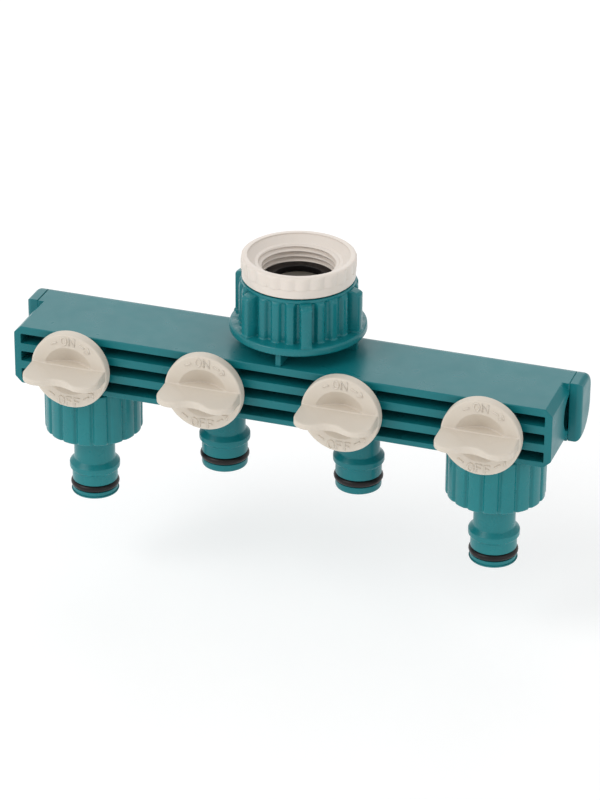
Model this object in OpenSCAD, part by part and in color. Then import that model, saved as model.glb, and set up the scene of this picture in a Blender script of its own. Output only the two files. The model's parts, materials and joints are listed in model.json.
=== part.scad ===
// Four-way garden tap manifold: one threaded tap inlet above, four quick-connect outlets below,
// a quarter-turn valve behind each knob.
// X runs along the manifold, the knobs face -Y, +Z is up.
// The origin is on the inlet axis, at the top of the first thread crest in the tap inlet.

/* [Manifold body] */
// Length over the end walls
body_l = 186; // [155:1:230]
// Height of the body, which is also the outside diameter of the water gallery
body_h = 21; // [18:0.5:26]
// Front face to the axis of the gallery and the inlet
body_depth = 21.5; // [20:0.5:28]
// Thickness of the top plate
top_plate = 2.7; // [2:0.1:4]
// Thickness of the bottom plate
bottom_plate = 2; // [1.5:0.1:3.5]
// Thickness of each of the two ribs between the front slots
rib_t = 2.9; // [1.8:0.1:3.5]
// Thickness of the end walls
end_wall = 2.5; // [1.8:0.1:4]
// Chamfer along the four long corners of the end walls
corner_chamfer = 2.4; // [0.5:0.1:3.5]
// Bore of the gallery
gallery_bore_r = 6.5; // [5:0.1:7.5]
// How far the gallery reaches behind the inlet's axis
gallery_back = 12.6; // [11.5:0.1:14]
// Radius of the gallery's corner behind the flat top
gallery_corner_r = 5.2; // [3:0.1:8]

/* [End caps] */
// How far each end cap stands out from the end wall
cap_out = 4.2; // [2.5:0.1:7]
// Rounding of the cap's outer edge
cap_round = 2; // [0.5:0.1:2.4]
// Flat side of the cap, in front of the gallery axis
cap_flat = 0.5; // [0.2:0.1:0.9]
// Length of the plug that enters the gallery
cap_plug_l = 5; // [3:0.5:9]

/* [Outlets] */
// Distance from one outlet to the next
outlet_pitch = 47.3; // [40:0.1:57]
// Front face to the outlet axes
outlet_setback = 15.1; // [13:0.1:17]

/* [Nipples] */
// Radius of the nipple where a connector seals on it
nipple_r = 7.75; // [7.75:0.05:7.8]
// Radius of the locking collar
collar_r = 8.6; // [8.4:0.05:8.8]
// Radius of the neck above the collar
neck_r = 7; // [6.6:0.1:7.2]
// Bore of the nipple
nipple_bore_r = 4.5; // [3.5:0.1:4.7]
// Collar's middle to the tip
collar_to_tip = 10.75; // [10:0.05:12]
// Collar's middle to the middle of the O-ring
collar_to_o_ring = 6.85; // [6:0.05:7.2]
// Body's underside to the collar's middle, on the two inner nipples
inner_collar_drop = 15; // [12:0.5:20]
// Body's underside to the collar's middle, on the two screwed connectors
outer_collar_drop = 34.15; // [30:0.5:40]
// Section diameter of the nipple O-ring
o_ring_d = 2.4; // [2:0.1:2.6]
// How far the O-ring stands out from the nipple
o_ring_proud = 0.55; // [0.3:0.05:0.7]

/* [Valves] */
// Radius of the valve chamber
chamber_r = 7; // [6:0.1:7.8]
// Wall around the valve chamber
chamber_wall = 2.8; // [1.5:0.1:3.5]
// Wall between the valve chamber and the gallery
throat_wall = 0.8; // [0.6:0.1:2]
// Length of the valve plug
plug_l = 11.5; // [10.5:0.1:12]
// Radius of the stem
stem_r = 3.5; // [2.5:0.1:4.5]
// Radius of the side port and of the passage under it
port_r = 2.5; // [1.5:0.1:3]
// Rubber around the port, radially
port_seal_wall = 1.1; // [0.8:0.1:1.3]
// Rubber under the plug
port_seal_t = 1.2; // [0.8:0.1:1.5]
// Section diameter of the plug O-ring
plug_o_ring_d = 1.9; // [1.5:0.1:2]
// Thickness of the bonnet's flange
bonnet_flange_t = 0.6; // [0.4:0.1:1]

/* [Knobs] */
// Radius of the knob's disc
knob_r = 13.4; // [11:0.1:15]
// Thickness of the disc
knob_t = 3.8; // [3:0.1:5]
// Gap between the disc and the body's front face
knob_standoff = 2.5; // [2.2:0.1:4]
// Radius of the finger scoops
scoop_r = 8.6; // [6:0.1:9]
// Depth of the finger scoops
scoop_depth = 3.6; // [1:0.1:3.8]
// Thickness of the grip
grip_t = 3.8; // [3.4:0.1:5]
// Half width of the grip over its two lobes
grip_half_w = 13.2; // [12:0.1:16]
// How far the lobes stand out from the disc
grip_out = 11.9; // [9:0.1:16]
// Radius of each lobe
lobe_r = 5.5; // [4:0.1:6]
// Depth of the dip between the lobes
grip_dip = 2.7; // [1:0.1:4]
// Thickness of the flat tang that drives the knob
tang_t = 2.4; // [1.5:0.1:2.6]
// Width of the tang
tang_w = 7; // [5:0.1:7]

/* [Tap connectors] */
// Outside radius of the connector nut
connector_r = 16.6; // [16:0.1:19]
// Height of the connector nut
connector_h = 18.5; // [17:0.1:22]
// Gap between the body and the nut
connector_gap = 1.2; // [0.6:0.1:3]
// Number of grip lobes
connector_lobes = 18; // [12:1:24]
// Length of the threaded spout that the nut screws onto
spout_l = 13.5; // [10:0.1:14]
// Thickness of the rubber washer in the nut
connector_washer_t = 2.5; // [2:0.1:3]

/* [Tap inlet] */
// Radius of the adapter's rim
rim_r = 19.1; // [18:0.1:21]
// Height of the rim
rim_h = 6.4; // [4:0.1:8]
// Whole height of the adapter
adapter_h = 16.4; // [15:0.1:20]
// Depth of the flared mouth above the tap thread
mouth_depth = 3.25; // [2:0.05:4]
// Radius of the mouth where it meets the rim's top
mouth_r = 16.6; // [14.5:0.1:17]
// Number of thread crests that hold the tap
tap_turns = 3; // [2:1:4]
// Thickness of the tap washer
tap_washer_t = 2.2; // [1.5:0.1:3]
// Bore of the tap washer and of the adapter under it
tap_bore_r = 8.5; // [6:0.1:9.5]

/* [Swivel nut] */
// Radius of the nut's barrel
nut_r = 18.9; // [18.6:0.1:21]
// Height of the nut
nut_h = 18.3; // [17:0.1:21]
// Radius of the flange at the foot of the nut
nut_flange_r = 22.9; // [21.5:0.1:25]
// Thickness of the flange
nut_flange_t = 2.8; // [2:0.1:4]
// Gap between the nut and the adapter's collar
nut_gap = 0.5; // [0.3:0.1:1]
// Outside radius of the spigot that carries the nut
spigot_r = 12.9; // [11:0.1:13]
// Radius of the spigot's retaining flange
spigot_flange_r = 14.6; // [14:0.1:14.8]
// Thickness of the spigot's retaining flange
spigot_flange_t = 2.8; // [2:0.1:4]
// Body's top to the top of the spigot
spigot_h = 12.4; // [11:0.1:16]
// How far the webs under the nut reach from the inlet axis
web_reach = 20.6; // [16:0.1:22]
// Thickness of those webs
web_t = 1.9; // [1:0.1:3]
// Bore of the spigot
spigot_bore_r = 8; // [6:0.1:9.5]
// Thickness of the gasket between the spigot and the adapter
gasket_t = 2.5; // [2:0.1:3.5]

/* [Pipe threads] */
// Pitch of the G 3/4 threads
g34_pitch = 1.814; // [1.814]
// Crest radius of the internal G 3/4 thread
g34_inner_r = 12.15; // [12.06:0.01:12.3]
// Root radius of the internal G 3/4 thread
g34_outer_r = 13.3; // [13.22:0.01:13.4]
// Pitch of the G 1 threads
g1_pitch = 2.309; // [2.309]
// Crest radius of the internal G 1 thread
g1_inner_r = 15.3; // [15.15:0.01:15.5]
// Root radius of the internal G 1 thread
g1_outer_r = 16.7; // [16.63:0.01:16.8]
// Width of a thread's crest
crest_w = 0.3; // [0.2:0.05:0.4]
// Radial clearance between two threads that are screwed together
thread_gap = 0.25; // [0.15:0.05:0.35]

/* [Fits] */
// Radial running clearance of the valve plug and its stem
turning_gap = 0.05; // [0.02:0.01:0.1]
// Radial clearance between the nut and the spigot
swivel_gap = 0.3; // [0.1:0.05:0.5]
// Clearance of parts that are pressed or welded together
snug = 0.02; // [0.01:0.01:0.05]
// Axial play between pieces that turn against each other
end_play = 0.2; // [0.1:0.05:0.4]

/* [Hidden] */
$fn = 96;
eps = 0.01;
teal = "#17777a";
beige = "#d8cfc2";
black = "#262222";
flank = tan(27.5);  // half the thread angle

// heights, from the inlet down
rim_top_z = mouth_depth;
rim_foot_z = rim_top_z - rim_h;
tap_thread_end_z = -(tap_turns - 1) * g34_pitch - crest_w;
tap_washer_top_z = tap_thread_end_z - 1;
tap_seat_z = tap_washer_top_z - tap_washer_t;
adapter_foot_z = rim_top_z - adapter_h;
gasket_foot_z = adapter_foot_z - gasket_t;
spigot_top_z = gasket_foot_z - end_play / 2;
body_top_z = spigot_top_z - spigot_h;
body_foot_z = body_top_z - body_h;
mid_z = body_top_z - body_h / 2;
collar_band_h = 1.2;  // plain band under the adapter's rim
nut_top_z = rim_foot_z - collar_band_h - nut_gap;
nut_turn = 4.3;  // where the nut's grips have come to rest, in degrees
nut_foot_z = nut_top_z - nut_h;
nut_seat_z = spigot_top_z - spigot_flange_t - 2 * end_play;
nut_thread_foot_z = spigot_top_z + 0.8;

// places along Y
front_y = -body_depth;
outlet_y = front_y + outlet_setback;
chamber_end_y = -gallery_bore_r - throat_wall;
plug_back_y = chamber_end_y - end_play;
plug_front_y = plug_back_y - plug_l;
port_y = plug_back_y - 1 - port_r;  // 1 mm of plug is left behind the port
knob_back_y = front_y - knob_standoff;
knob_face_y = knob_back_y - knob_t;
hub_back_y = front_y - bonnet_flange_t - 2 * end_play;
slot_h = (body_h - top_plate - bottom_plate - 2 * rib_t) / 3;

// radii that follow from a fit
plug_r = chamber_r - turning_gap;
plug_o_ring_outer_r = plug_r + turning_gap / 2;
plug_groove_r = plug_o_ring_outer_r - plug_o_ring_d;
o_ring_outer_r = nipple_r + o_ring_proud;
groove_r = o_ring_outer_r - o_ring_d;
groove_half_w = o_ring_d / 2 + 0.1;
hub_r = scoop_r + 0.6;
seal_r = port_r + port_seal_wall;
cap_plug_r = gallery_bore_r - snug;
spout_bore_r = 9;
connector_floor_z = body_foot_z - spout_l - connector_washer_t;
connector_top_z = body_foot_z - connector_gap;
connector_foot_z = connector_top_z - connector_h;

// X of an outlet, counted 1 to 4 from the left
function outlet_x(i) = (i - 2.5) * outlet_pitch;
// the two outer outlets have screwed connectors, the two inner ones have moulded nipples
function collar_z(i) = body_foot_z - (i == 1 || i == 4 ? outer_collar_drop : inner_collar_drop);

// half section of a row of thread crests, from the top one down, as ridges from root to crest
function ridges(root_r, crest_r, pitch, turns, top_z) =
    let (h = abs(crest_r - root_r) * flank)
    [for (i = [0 : turns - 1]) each [
        [root_r, top_z - i * pitch + h],
        [crest_r, top_z - i * pitch],
        [crest_r, top_z - i * pitch - crest_w],
        [root_r, top_z - i * pitch - crest_w - h]
    ]];

function reversed(list) = [for (i = [len(list) - 1 : -1 : 0]) list[i]];

// a cylinder along Y, from y0 to y1
module along_y(r, y0, y1) {
    translate([0, y1, 0]) rotate([90, 0, 0]) cylinder(r = r, h = y1 - y0);
}

// a cylinder along Z, from z0 to z1
module along_z(r, z0, z1) {
    translate([0, 0, z0]) cylinder(r = r, h = z1 - z0);
}

module block(low, high) {
    translate(low) cube(high - low);
}

// ---- body ----

module slot(foot_z) {
    block([-body_l / 2 + end_wall, front_y - 1, foot_z], [body_l / 2 - end_wall, 0, foot_z + slot_h]);
}

// ribbed casing in front of the gallery: three long slots between four plates
module casing() {
    a = body_l / 2;
    c = corner_chamfer;
    difference() {
        translate([0, 0, body_foot_z]) rotate([90, 0, 0]) linear_extrude(height = body_depth)
            polygon([
                [-a + c, 0], [a - c, 0], [a, c], [a, body_h - c],
                [a - c, body_h], [-a + c, body_h], [-a, body_h - c], [-a, c]
            ]);
        for (k = [0 : 2]) slot(body_foot_z + bottom_plate + k * (slot_h + rib_t));
    }
}

// outline of the gallery in YZ: a full corner behind the flat top and a round underside
module gallery_profile(inset) {
    half = body_h / 2;
    round_y = gallery_back - half;
    corner_y = gallery_back - gallery_corner_r;
    translate([0, round_y]) circle(r = half - inset);
    translate([gallery_corner_r - half, corner_y]) circle(r = gallery_corner_r - inset);
    translate([inset - half, -0.9]) square([2 * (half - inset), round_y + 0.9]);
    translate([inset - half, 0]) square([half - inset, corner_y]);
    translate([gallery_corner_r - half, 0]) square([half - gallery_corner_r, gallery_back - inset]);
}

// solid around a valve chamber and over its outlet
module valve_block() {
    translate([0, 0, mid_z]) along_y(chamber_r + chamber_wall, front_y, 0);
    translate([0, outlet_y, 0]) along_z(nipple_r + 1, body_foot_z, mid_z);
}

// everything that is bored out of the body at one outlet
module valve_bores(bore_r) {
    translate([0, 0, mid_z]) {
        along_y(chamber_r, front_y - 1, chamber_end_y);
        along_y(plug_r - 2.6, chamber_end_y - 1, 0);
    }
    translate([0, port_y, 0]) {
        along_z(port_r, body_foot_z + 0.6, mid_z);
        along_z(seal_r + snug, mid_z - chamber_r - port_seal_t, mid_z);
    }
    translate([0, outlet_y, 0]) along_z(bore_r, body_foot_z - 60, body_foot_z + 2.4);
}

// half section of a quick-connect nipple below its neck, as points from the neck to the tip
function nipple_outline(z) = [
    [neck_r, z + 0.9 + collar_r - neck_r],
    [collar_r, z + 0.9],
    [collar_r, z - 0.9],
    [nipple_r, z - 0.9 - (collar_r - nipple_r)],
    [nipple_r, z - collar_to_o_ring + groove_half_w],
    [groove_r, z - collar_to_o_ring + groove_half_w],
    [groove_r, z - collar_to_o_ring - groove_half_w],
    [nipple_r, z - collar_to_o_ring - groove_half_w],
    [nipple_r, z - collar_to_tip + 0.8],
    [nipple_r - 0.8, z - collar_to_tip],
    [0, z - collar_to_tip]
];

module inner_nipple(i) {
    rotate_extrude()
        polygon(concat([[0, body_foot_z + 1], [neck_r, body_foot_z + 1]], nipple_outline(collar_z(i))));
}

// threaded spout under the body that takes a screwed connector
module spout() {
    root = g34_inner_r - thread_gap;
    crest = g34_outer_r - thread_gap;
    top = connector_top_z - 3.4 - g34_pitch / 2;
    foot = body_foot_z - spout_l;
    turns = floor((top - foot - 1) / g34_pitch);
    rotate_extrude()
        polygon(concat(
            [[0, body_foot_z + 1], [root, body_foot_z + 1]],
            ridges(root, crest, g34_pitch, turns, top),
            [[root, foot + 0.6], [root - 0.6, foot], [0, foot]]
        ));
}

// webs that stiffen the spigot under the nut
module webs() {
    for (a = [0 : 90 : 270]) rotate([0, 0, a])
        block([spigot_r - 1, -web_t / 2, body_top_z - 1], [web_reach, web_t / 2, nut_foot_z - 0.5]);
}

module spigot() {
    along_z(spigot_r, body_top_z - 2, spigot_top_z - eps);
    along_z(spigot_flange_r, spigot_top_z - spigot_flange_t, spigot_top_z);
    intersection() {
        webs();
        block([-web_reach - 1, front_y, body_top_z - 2], [web_reach + 1, body_h / 2, nut_foot_z]);
    }
    // behind the casing the foot goes down to the gallery's axis, so the passage keeps a full wall
    intersection() {
        along_z(spigot_r, mid_z, body_top_z);
        block([-spigot_r - 1, 0, mid_z - 1], [spigot_r + 1, spigot_r + 1, body_top_z + 1]);
    }
}

module manifold_body() {
    color(teal) difference() {
        union() {
            casing();
            translate([-body_l / 2, 0, mid_z]) rotate([0, 90, 0]) {
                linear_extrude(height = body_l) gallery_profile(0);
                cylinder(r = body_h / 2, h = body_l);
            }
            for (i = [1 : 4]) translate([outlet_x(i), 0, 0]) valve_block();
            for (i = [2, 3]) translate([outlet_x(i), outlet_y, 0]) inner_nipple(i);
            for (i = [1, 4]) translate([outlet_x(i), outlet_y, 0]) spout();
            spigot();
        }
        translate([-body_l / 2 - 1, 0, mid_z]) rotate([0, 90, 0]) cylinder(r = gallery_bore_r, h = body_l + 2);
        for (i = [1 : 4]) translate([outlet_x(i), 0, 0])
            valve_bores(i == 1 || i == 4 ? spout_bore_r : nipple_bore_r);
        along_z(spigot_bore_r, body_top_z, spigot_top_z + 1);
        along_z(gallery_bore_r - 0.5, mid_z, body_top_z + 1);
    }
}

// cap that closes the gallery, on the side where X is positive; its face has a rounded edge
module end_cap() {
    soft = 0.293 * cap_round;
    color(teal) {
        translate([body_l / 2, 0, mid_z]) rotate([0, 90, 0]) hull() {
            cap_slice(0, cap_out - cap_round);
            cap_slice(soft, cap_out - soft);
            cap_slice(cap_round, cap_out);
        }
        translate([body_l / 2 - cap_plug_l, 0, mid_z]) rotate([0, 90, 0]) difference() {
            cylinder(r = cap_plug_r, h = cap_plug_l + eps);
            translate([0, 0, -1]) cylinder(r = cap_plug_r - 2, h = cap_plug_l);
        }
    }
}

module cap_slice(inset, height) {
    linear_extrude(height = height) intersection() {
        gallery_profile(inset);
        translate([-body_h, -cap_flat]) square(2 * body_h);
    }
}

module end_cap_left() { mirror([1, 0, 0]) end_cap(); }
module end_cap_right() { end_cap(); }

// ---- inlet ----

module inlet_nut() {
    thread_top = nut_top_z - 1.4;
    turns = floor((thread_top - nut_thread_foot_z - 1) / g1_pitch);
    color(teal) difference() {
        union() {
            rotate_extrude() polygon([
                [0, nut_foot_z], [nut_flange_r - 1, nut_foot_z], [nut_flange_r, nut_foot_z + 1],
                [nut_flange_r, nut_foot_z + nut_flange_t - 1], [nut_flange_r - 1, nut_foot_z + nut_flange_t],
                [nut_r, nut_foot_z + nut_flange_t], [nut_r, nut_top_z - 0.8], [nut_r - 0.8, nut_top_z],
                [0, nut_top_z]
            ]);
            // six large grips, with three small ones between each pair
            for (k = [0 : 23]) rotate([0, 0, k * 15 - nut_turn]) {
                big = k % 4 == 0;
                translate([nut_r + (big ? 0.6 : -1), 0, nut_foot_z + nut_flange_t / 2])
                    cylinder(r = big ? 1.7 : 1.9, h = nut_h - nut_flange_t / 2 - (big ? 2 : 0.9));
            }
        }
        rotate_extrude() polygon(concat(
            [[0, nut_top_z + 1], [g1_outer_r, nut_top_z + 1]],
            ridges(g1_outer_r, g1_inner_r, g1_pitch, turns, thread_top),
            [
                [g1_outer_r, nut_thread_foot_z], [g1_inner_r, nut_thread_foot_z - 0.8], [g1_inner_r, nut_seat_z],
                [spigot_r + swivel_gap, nut_seat_z], [spigot_r + swivel_gap, nut_foot_z - 1], [0, nut_foot_z - 1]
            ]
        ));
    }
}

module adapter_ring() {
    root = g1_inner_r - thread_gap;
    crest = g1_outer_r - thread_gap;
    // the adapter's crests lie half a pitch from the nut's
    top = nut_top_z - 1.4 - g1_pitch / 2;
    turns = floor((top - adapter_foot_z - 1) / g1_pitch);
    band_r = rim_r - 1.1;
    color(beige) rotate_extrude() polygon(concat(
        [
            [g34_outer_r + 1.2, 1.6], [mouth_r, rim_top_z - 0.3], [mouth_r + 0.4, rim_top_z],
            [rim_r - 1.2, rim_top_z], [rim_r, rim_top_z - 1.2], [rim_r, rim_foot_z],
            [band_r, rim_foot_z], [band_r, rim_foot_z - collar_band_h], [root, rim_foot_z - collar_band_h]
        ],
        ridges(root, crest, g1_pitch, turns, top),
        [
            [root, adapter_foot_z + 0.5], [root - 0.5, adapter_foot_z], [tap_bore_r, adapter_foot_z],
            [tap_bore_r, tap_seat_z], [g34_outer_r, tap_seat_z]
        ],
        reversed(ridges(g34_outer_r, g34_inner_r, g34_pitch, tap_turns, 0)),
        [[g34_outer_r + 0.3, 1.1]]
    ));
}

module washer(r, bore_r, foot_z, t) {
    color(black) difference() {
        along_z(r, foot_z, foot_z + t);
        along_z(bore_r, foot_z - 1, foot_z + t + 1);
    }
}

module tap_washer() { washer(g34_inner_r - 0.1, tap_bore_r, tap_seat_z, tap_washer_t); }
module swivel_gasket() { washer(spigot_flange_r - 0.1, tap_bore_r + 1, gasket_foot_z, gasket_t); }

// ---- valves ----

// places what follows on the valve axis of outlet i
module at_valve(i) { translate([outlet_x(i), 0, mid_z]) children(); }

// solid grip seen from above: two round lobes with a dip between them
module grip() {
    lobe_x = grip_half_w - lobe_r;
    front = knob_face_y - grip_out;
    lobe_y = front + lobe_r;
    // radius of the dip that is tangent to both lobes
    b = lobe_r - grip_dip;
    dip_r = (lobe_x * lobe_x + b * b - lobe_r * lobe_r) / (2 * (lobe_r - b));
    dip_y = front + grip_dip - dip_r;
    s = lobe_r / (lobe_r + dip_r);
    tangent = [lobe_x * (1 - s), lobe_y + (dip_y - lobe_y) * s];
    root_x = knob_r - 0.5;
    difference() {
        union() {
            for (side = [-1, 1]) translate([side * lobe_x, lobe_y, -grip_t / 2]) cylinder(r = lobe_r, h = grip_t);
            translate([0, 0, -grip_t / 2]) linear_extrude(height = grip_t) polygon([
                [-root_x, knob_back_y - 0.5], [-root_x, knob_face_y], [-grip_half_w, lobe_y], [-lobe_x, lobe_y],
                -tangent[0] * [1, 0] + [0, tangent[1]], tangent, [lobe_x, lobe_y], [grip_half_w, lobe_y],
                [root_x, knob_face_y], [root_x, knob_back_y - 0.5]
            ]);
        }
        translate([0, dip_y, -grip_t]) cylinder(r = dip_r, h = 2 * grip_t);
    }
}

// disc with two finger scoops, a hub behind it and the grip across its face
module knob() {
    dish_r = (scoop_r * scoop_r + scoop_depth * scoop_depth) / (2 * scoop_depth);
    color(beige) difference() {
        union() {
            difference() {
                union() {
                    translate([0, knob_back_y, 0]) rotate([90, 0, 0]) rotate_extrude() polygon([
                        [0, 0], [knob_r - 0.4, 0], [knob_r, 0.4],
                        [knob_r, knob_t - 0.8], [knob_r - 0.8, knob_t], [0, knob_t]
                    ]);
                    along_y(hub_r, knob_back_y - 1, hub_back_y);
                }
                translate([0, knob_face_y - dish_r + scoop_depth, 0]) sphere(r = dish_r);
            }
            grip();
            // keeps the grip's root solid down to the hub
            block([-scoop_r, knob_face_y, -grip_t / 2], [scoop_r, hub_back_y - 0.5, grip_t / 2]);
        }
        block(
            [-tang_w / 2 - turning_gap, plug_front_y - 12, -tang_t / 2 - turning_gap],
            [tang_w / 2 + turning_gap, hub_back_y + 1, tang_t / 2 + turning_gap]
        );
    }
}

// hollow plug: water enters from the gallery and leaves by the side port,
// which faces -X when the valve is shut and -Z when it is open
module valve_plug() {
    groove = [plug_front_y + 1, plug_front_y + 1 + plug_o_ring_d + 0.3];
    color(beige) {
        difference() {
            union() {
                along_y(plug_r, plug_front_y, plug_back_y);
                along_y(stem_r, hub_back_y + 0.1, plug_front_y + 1);
            }
            along_y(plug_r - 2.6, groove[1] + 1, plug_back_y + 1);
            translate([0, port_y, 0]) rotate([0, -90, 0]) cylinder(r = port_r, h = chamber_r + 1);
            difference() {
                along_y(plug_r + 1, groove[0], groove[1]);
                along_y(plug_groove_r, groove[0] - 1, groove[1] + 1);
            }
        }
        block([-tang_w / 2, plug_front_y - 11.8, -tang_t / 2], [tang_w / 2, hub_back_y + 0.2, tang_t / 2]);
    }
}

module plug_o_ring() {
    y = plug_front_y + 1.15 + plug_o_ring_d / 2;
    color(black) translate([0, y, 0]) rotate([90, 0, 0]) rotate_extrude()
        translate([plug_o_ring_outer_r - plug_o_ring_d / 2, 0]) circle(r = plug_o_ring_d / 2);
}

// bush that is pressed into the mouth of the chamber and holds the plug in
module bonnet() {
    color(teal) difference() {
        union() {
            along_y(chamber_r - snug, front_y, plug_front_y - end_play);
            along_y(chamber_r + 1.4, front_y - bonnet_flange_t, front_y);
        }
        along_y(stem_r + turning_gap, front_y - 5, 0);
    }
}

// rubber ring under the plug, around the passage to the outlet
module port_seal() {
    z0 = -chamber_r - port_seal_t;
    color(black) difference() {
        translate([0, port_y, 0]) along_z(seal_r, z0, -chamber_r / 2);
        translate([0, port_y, 0]) along_z(port_r, z0 - 1, 1);
        along_y(chamber_r, port_y - 10, port_y + 10);
    }
}

module knob_1() { at_valve(1) knob(); }
module knob_2() { at_valve(2) knob(); }
module knob_3() { at_valve(3) knob(); }
module knob_4() { at_valve(4) knob(); }
module valve_plug_1() { at_valve(1) valve_plug(); }
module valve_plug_2() { at_valve(2) valve_plug(); }
module valve_plug_3() { at_valve(3) valve_plug(); }
module valve_plug_4() { at_valve(4) valve_plug(); }
module plug_o_ring_1() { at_valve(1) plug_o_ring(); }
module plug_o_ring_2() { at_valve(2) plug_o_ring(); }
module plug_o_ring_3() { at_valve(3) plug_o_ring(); }
module plug_o_ring_4() { at_valve(4) plug_o_ring(); }
module bonnet_1() { at_valve(1) bonnet(); }
module bonnet_2() { at_valve(2) bonnet(); }
module bonnet_3() { at_valve(3) bonnet(); }
module bonnet_4() { at_valve(4) bonnet(); }
module port_seal_1() { at_valve(1) port_seal(); }
module port_seal_2() { at_valve(2) port_seal(); }
module port_seal_3() { at_valve(3) port_seal(); }
module port_seal_4() { at_valve(4) port_seal(); }

// ---- outlets ----

// places what follows on the axis of outlet i
module at_outlet(i) { translate([outlet_x(i), outlet_y, 0]) children(); }

// nut and nipple in one piece, screwed onto a spout
module tap_connector(i) {
    thread_top = connector_top_z - 3.4;
    turns = floor((thread_top - connector_floor_z - connector_washer_t - 1) / g34_pitch);
    shelf_r = nipple_r + 1;
    color(teal) difference() {
        rotate_extrude() polygon(concat(
            [
                [0, connector_top_z], [connector_r - 1, connector_top_z], [connector_r, connector_top_z - 1],
                [connector_r, connector_foot_z + 1.8], [connector_r - 1.8, connector_foot_z],
                [shelf_r, connector_foot_z - 0.6], [shelf_r, connector_foot_z - 1.6],
                [neck_r, connector_foot_z - 1.8]
            ],
            nipple_outline(collar_z(i))
        ));
        rotate_extrude() polygon(concat(
            [[0, connector_top_z + 1], [g34_outer_r + 0.4, connector_top_z + 1], [g34_outer_r + 0.4, connector_top_z - 2]],
            ridges(g34_outer_r, g34_inner_r, g34_pitch, turns, thread_top),
            [[g34_outer_r, connector_floor_z], [0, connector_floor_z]]
        ));
        along_z(nipple_bore_r, collar_z(i) - collar_to_tip - 1, connector_floor_z + 1);
        // narrow valleys between the grip lobes
        for (k = [0 : connector_lobes - 1]) rotate([0, 0, (k + 0.5) * 360 / connector_lobes])
            translate([connector_r + 0.35, 0, connector_foot_z - 2]) cylinder(r = 1, h = connector_h + 3);
    }
}

module tap_connector_left() { at_outlet(1) tap_connector(1); }
module tap_connector_right() { at_outlet(4) tap_connector(4); }

module connector_washer() { washer(g34_inner_r - 0.1, nipple_bore_r + 3, connector_floor_z, connector_washer_t); }
module connector_washer_left() { at_outlet(1) connector_washer(); }
module connector_washer_right() { at_outlet(4) connector_washer(); }

module nipple_o_ring(i) {
    color(black) at_outlet(i) translate([0, 0, collar_z(i) - collar_to_o_ring]) rotate_extrude()
        translate([o_ring_outer_r - o_ring_d / 2, 0]) circle(r = o_ring_d / 2);
}

module nipple_o_ring_1() { nipple_o_ring(1); }
module nipple_o_ring_2() { nipple_o_ring(2); }
module nipple_o_ring_3() { nipple_o_ring(3); }
module nipple_o_ring_4() { nipple_o_ring(4); }

manifold_body();
end_cap_left();
end_cap_right();
inlet_nut();
adapter_ring();
tap_washer();
swivel_gasket();
knob_1();
knob_2();
knob_3();
knob_4();
valve_plug_1();
valve_plug_2();
valve_plug_3();
valve_plug_4();
plug_o_ring_1();
plug_o_ring_2();
plug_o_ring_3();
plug_o_ring_4();
bonnet_1();
bonnet_2();
bonnet_3();
bonnet_4();
port_seal_1();
port_seal_2();
port_seal_3();
port_seal_4();
tap_connector_left();
tap_connector_right();
connector_washer_left();
connector_washer_right();
nipple_o_ring_1();
nipple_o_ring_2();
nipple_o_ring_3();
nipple_o_ring_4();
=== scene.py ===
import json
import math

import bmesh
import bpy
from mathutils import Matrix, Vector


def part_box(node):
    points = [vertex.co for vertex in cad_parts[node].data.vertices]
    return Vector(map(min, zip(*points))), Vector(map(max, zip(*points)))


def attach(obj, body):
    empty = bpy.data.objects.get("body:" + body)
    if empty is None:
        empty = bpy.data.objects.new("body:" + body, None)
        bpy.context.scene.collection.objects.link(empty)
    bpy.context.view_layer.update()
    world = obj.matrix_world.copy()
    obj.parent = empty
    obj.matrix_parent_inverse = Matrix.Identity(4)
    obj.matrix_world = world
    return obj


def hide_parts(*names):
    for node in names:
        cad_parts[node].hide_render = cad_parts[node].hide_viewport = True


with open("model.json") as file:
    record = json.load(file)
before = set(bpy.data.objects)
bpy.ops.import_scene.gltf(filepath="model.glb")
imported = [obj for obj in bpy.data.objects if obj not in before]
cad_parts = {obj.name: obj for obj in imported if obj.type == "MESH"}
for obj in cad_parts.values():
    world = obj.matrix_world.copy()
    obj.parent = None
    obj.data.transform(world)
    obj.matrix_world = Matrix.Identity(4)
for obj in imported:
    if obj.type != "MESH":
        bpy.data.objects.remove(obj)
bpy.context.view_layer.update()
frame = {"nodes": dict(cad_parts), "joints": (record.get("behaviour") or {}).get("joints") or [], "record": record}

mm = 0.001
outletCount = 4
mountAt = {m["name"]: Vector(m["pos_m"]) / mm for m in frame["record"]["mounts"]}
jointAt = {j["name"]: Vector(j["pos_m"]) / mm for j in frame["joints"]}


def boxMm(node):
    # lowest and highest corner of a CAD node, in millimetres
    low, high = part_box(node)
    return low / mm, high / mm


# the camera stands in front, a little to the right and above, with a long lens
cameraSettings = {
    "target": (0.0080, -0.0215, -0.0387),
    "azimuth": 18.65,  # degrees to the right of straight on
    "elevation": 27.18,
    "distance": 1.1613,
    "lens": 160.05,
    "roll": 0.415,
}


def addCamera(c):
    data = bpy.data.cameras.new("camera")
    data.lens = c["lens"]
    data.clip_end = 20
    camera = bpy.data.objects.new("camera", data)
    turn = Matrix.Rotation(math.radians(c["azimuth"]), 4, "Z")
    turn @= Matrix.Rotation(math.radians(90 - c["elevation"]), 4, "X")
    turn @= Matrix.Rotation(math.radians(c["roll"]), 4, "Z")
    back = turn @ Vector((0, 0, c["distance"]))
    camera.matrix_world = Matrix.Translation(Vector(c["target"]) + back) @ turn
    bpy.context.scene.collection.objects.link(camera)
    bpy.context.scene.camera = camera


addCamera(cameraSettings)


# small helpers for shapes; they all take millimetres

def smoothStep(low, high, x):
    t = min(max((x - low) / (high - low), 0.0), 1.0)
    return t * t * (3 - 2 * t)


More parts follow.
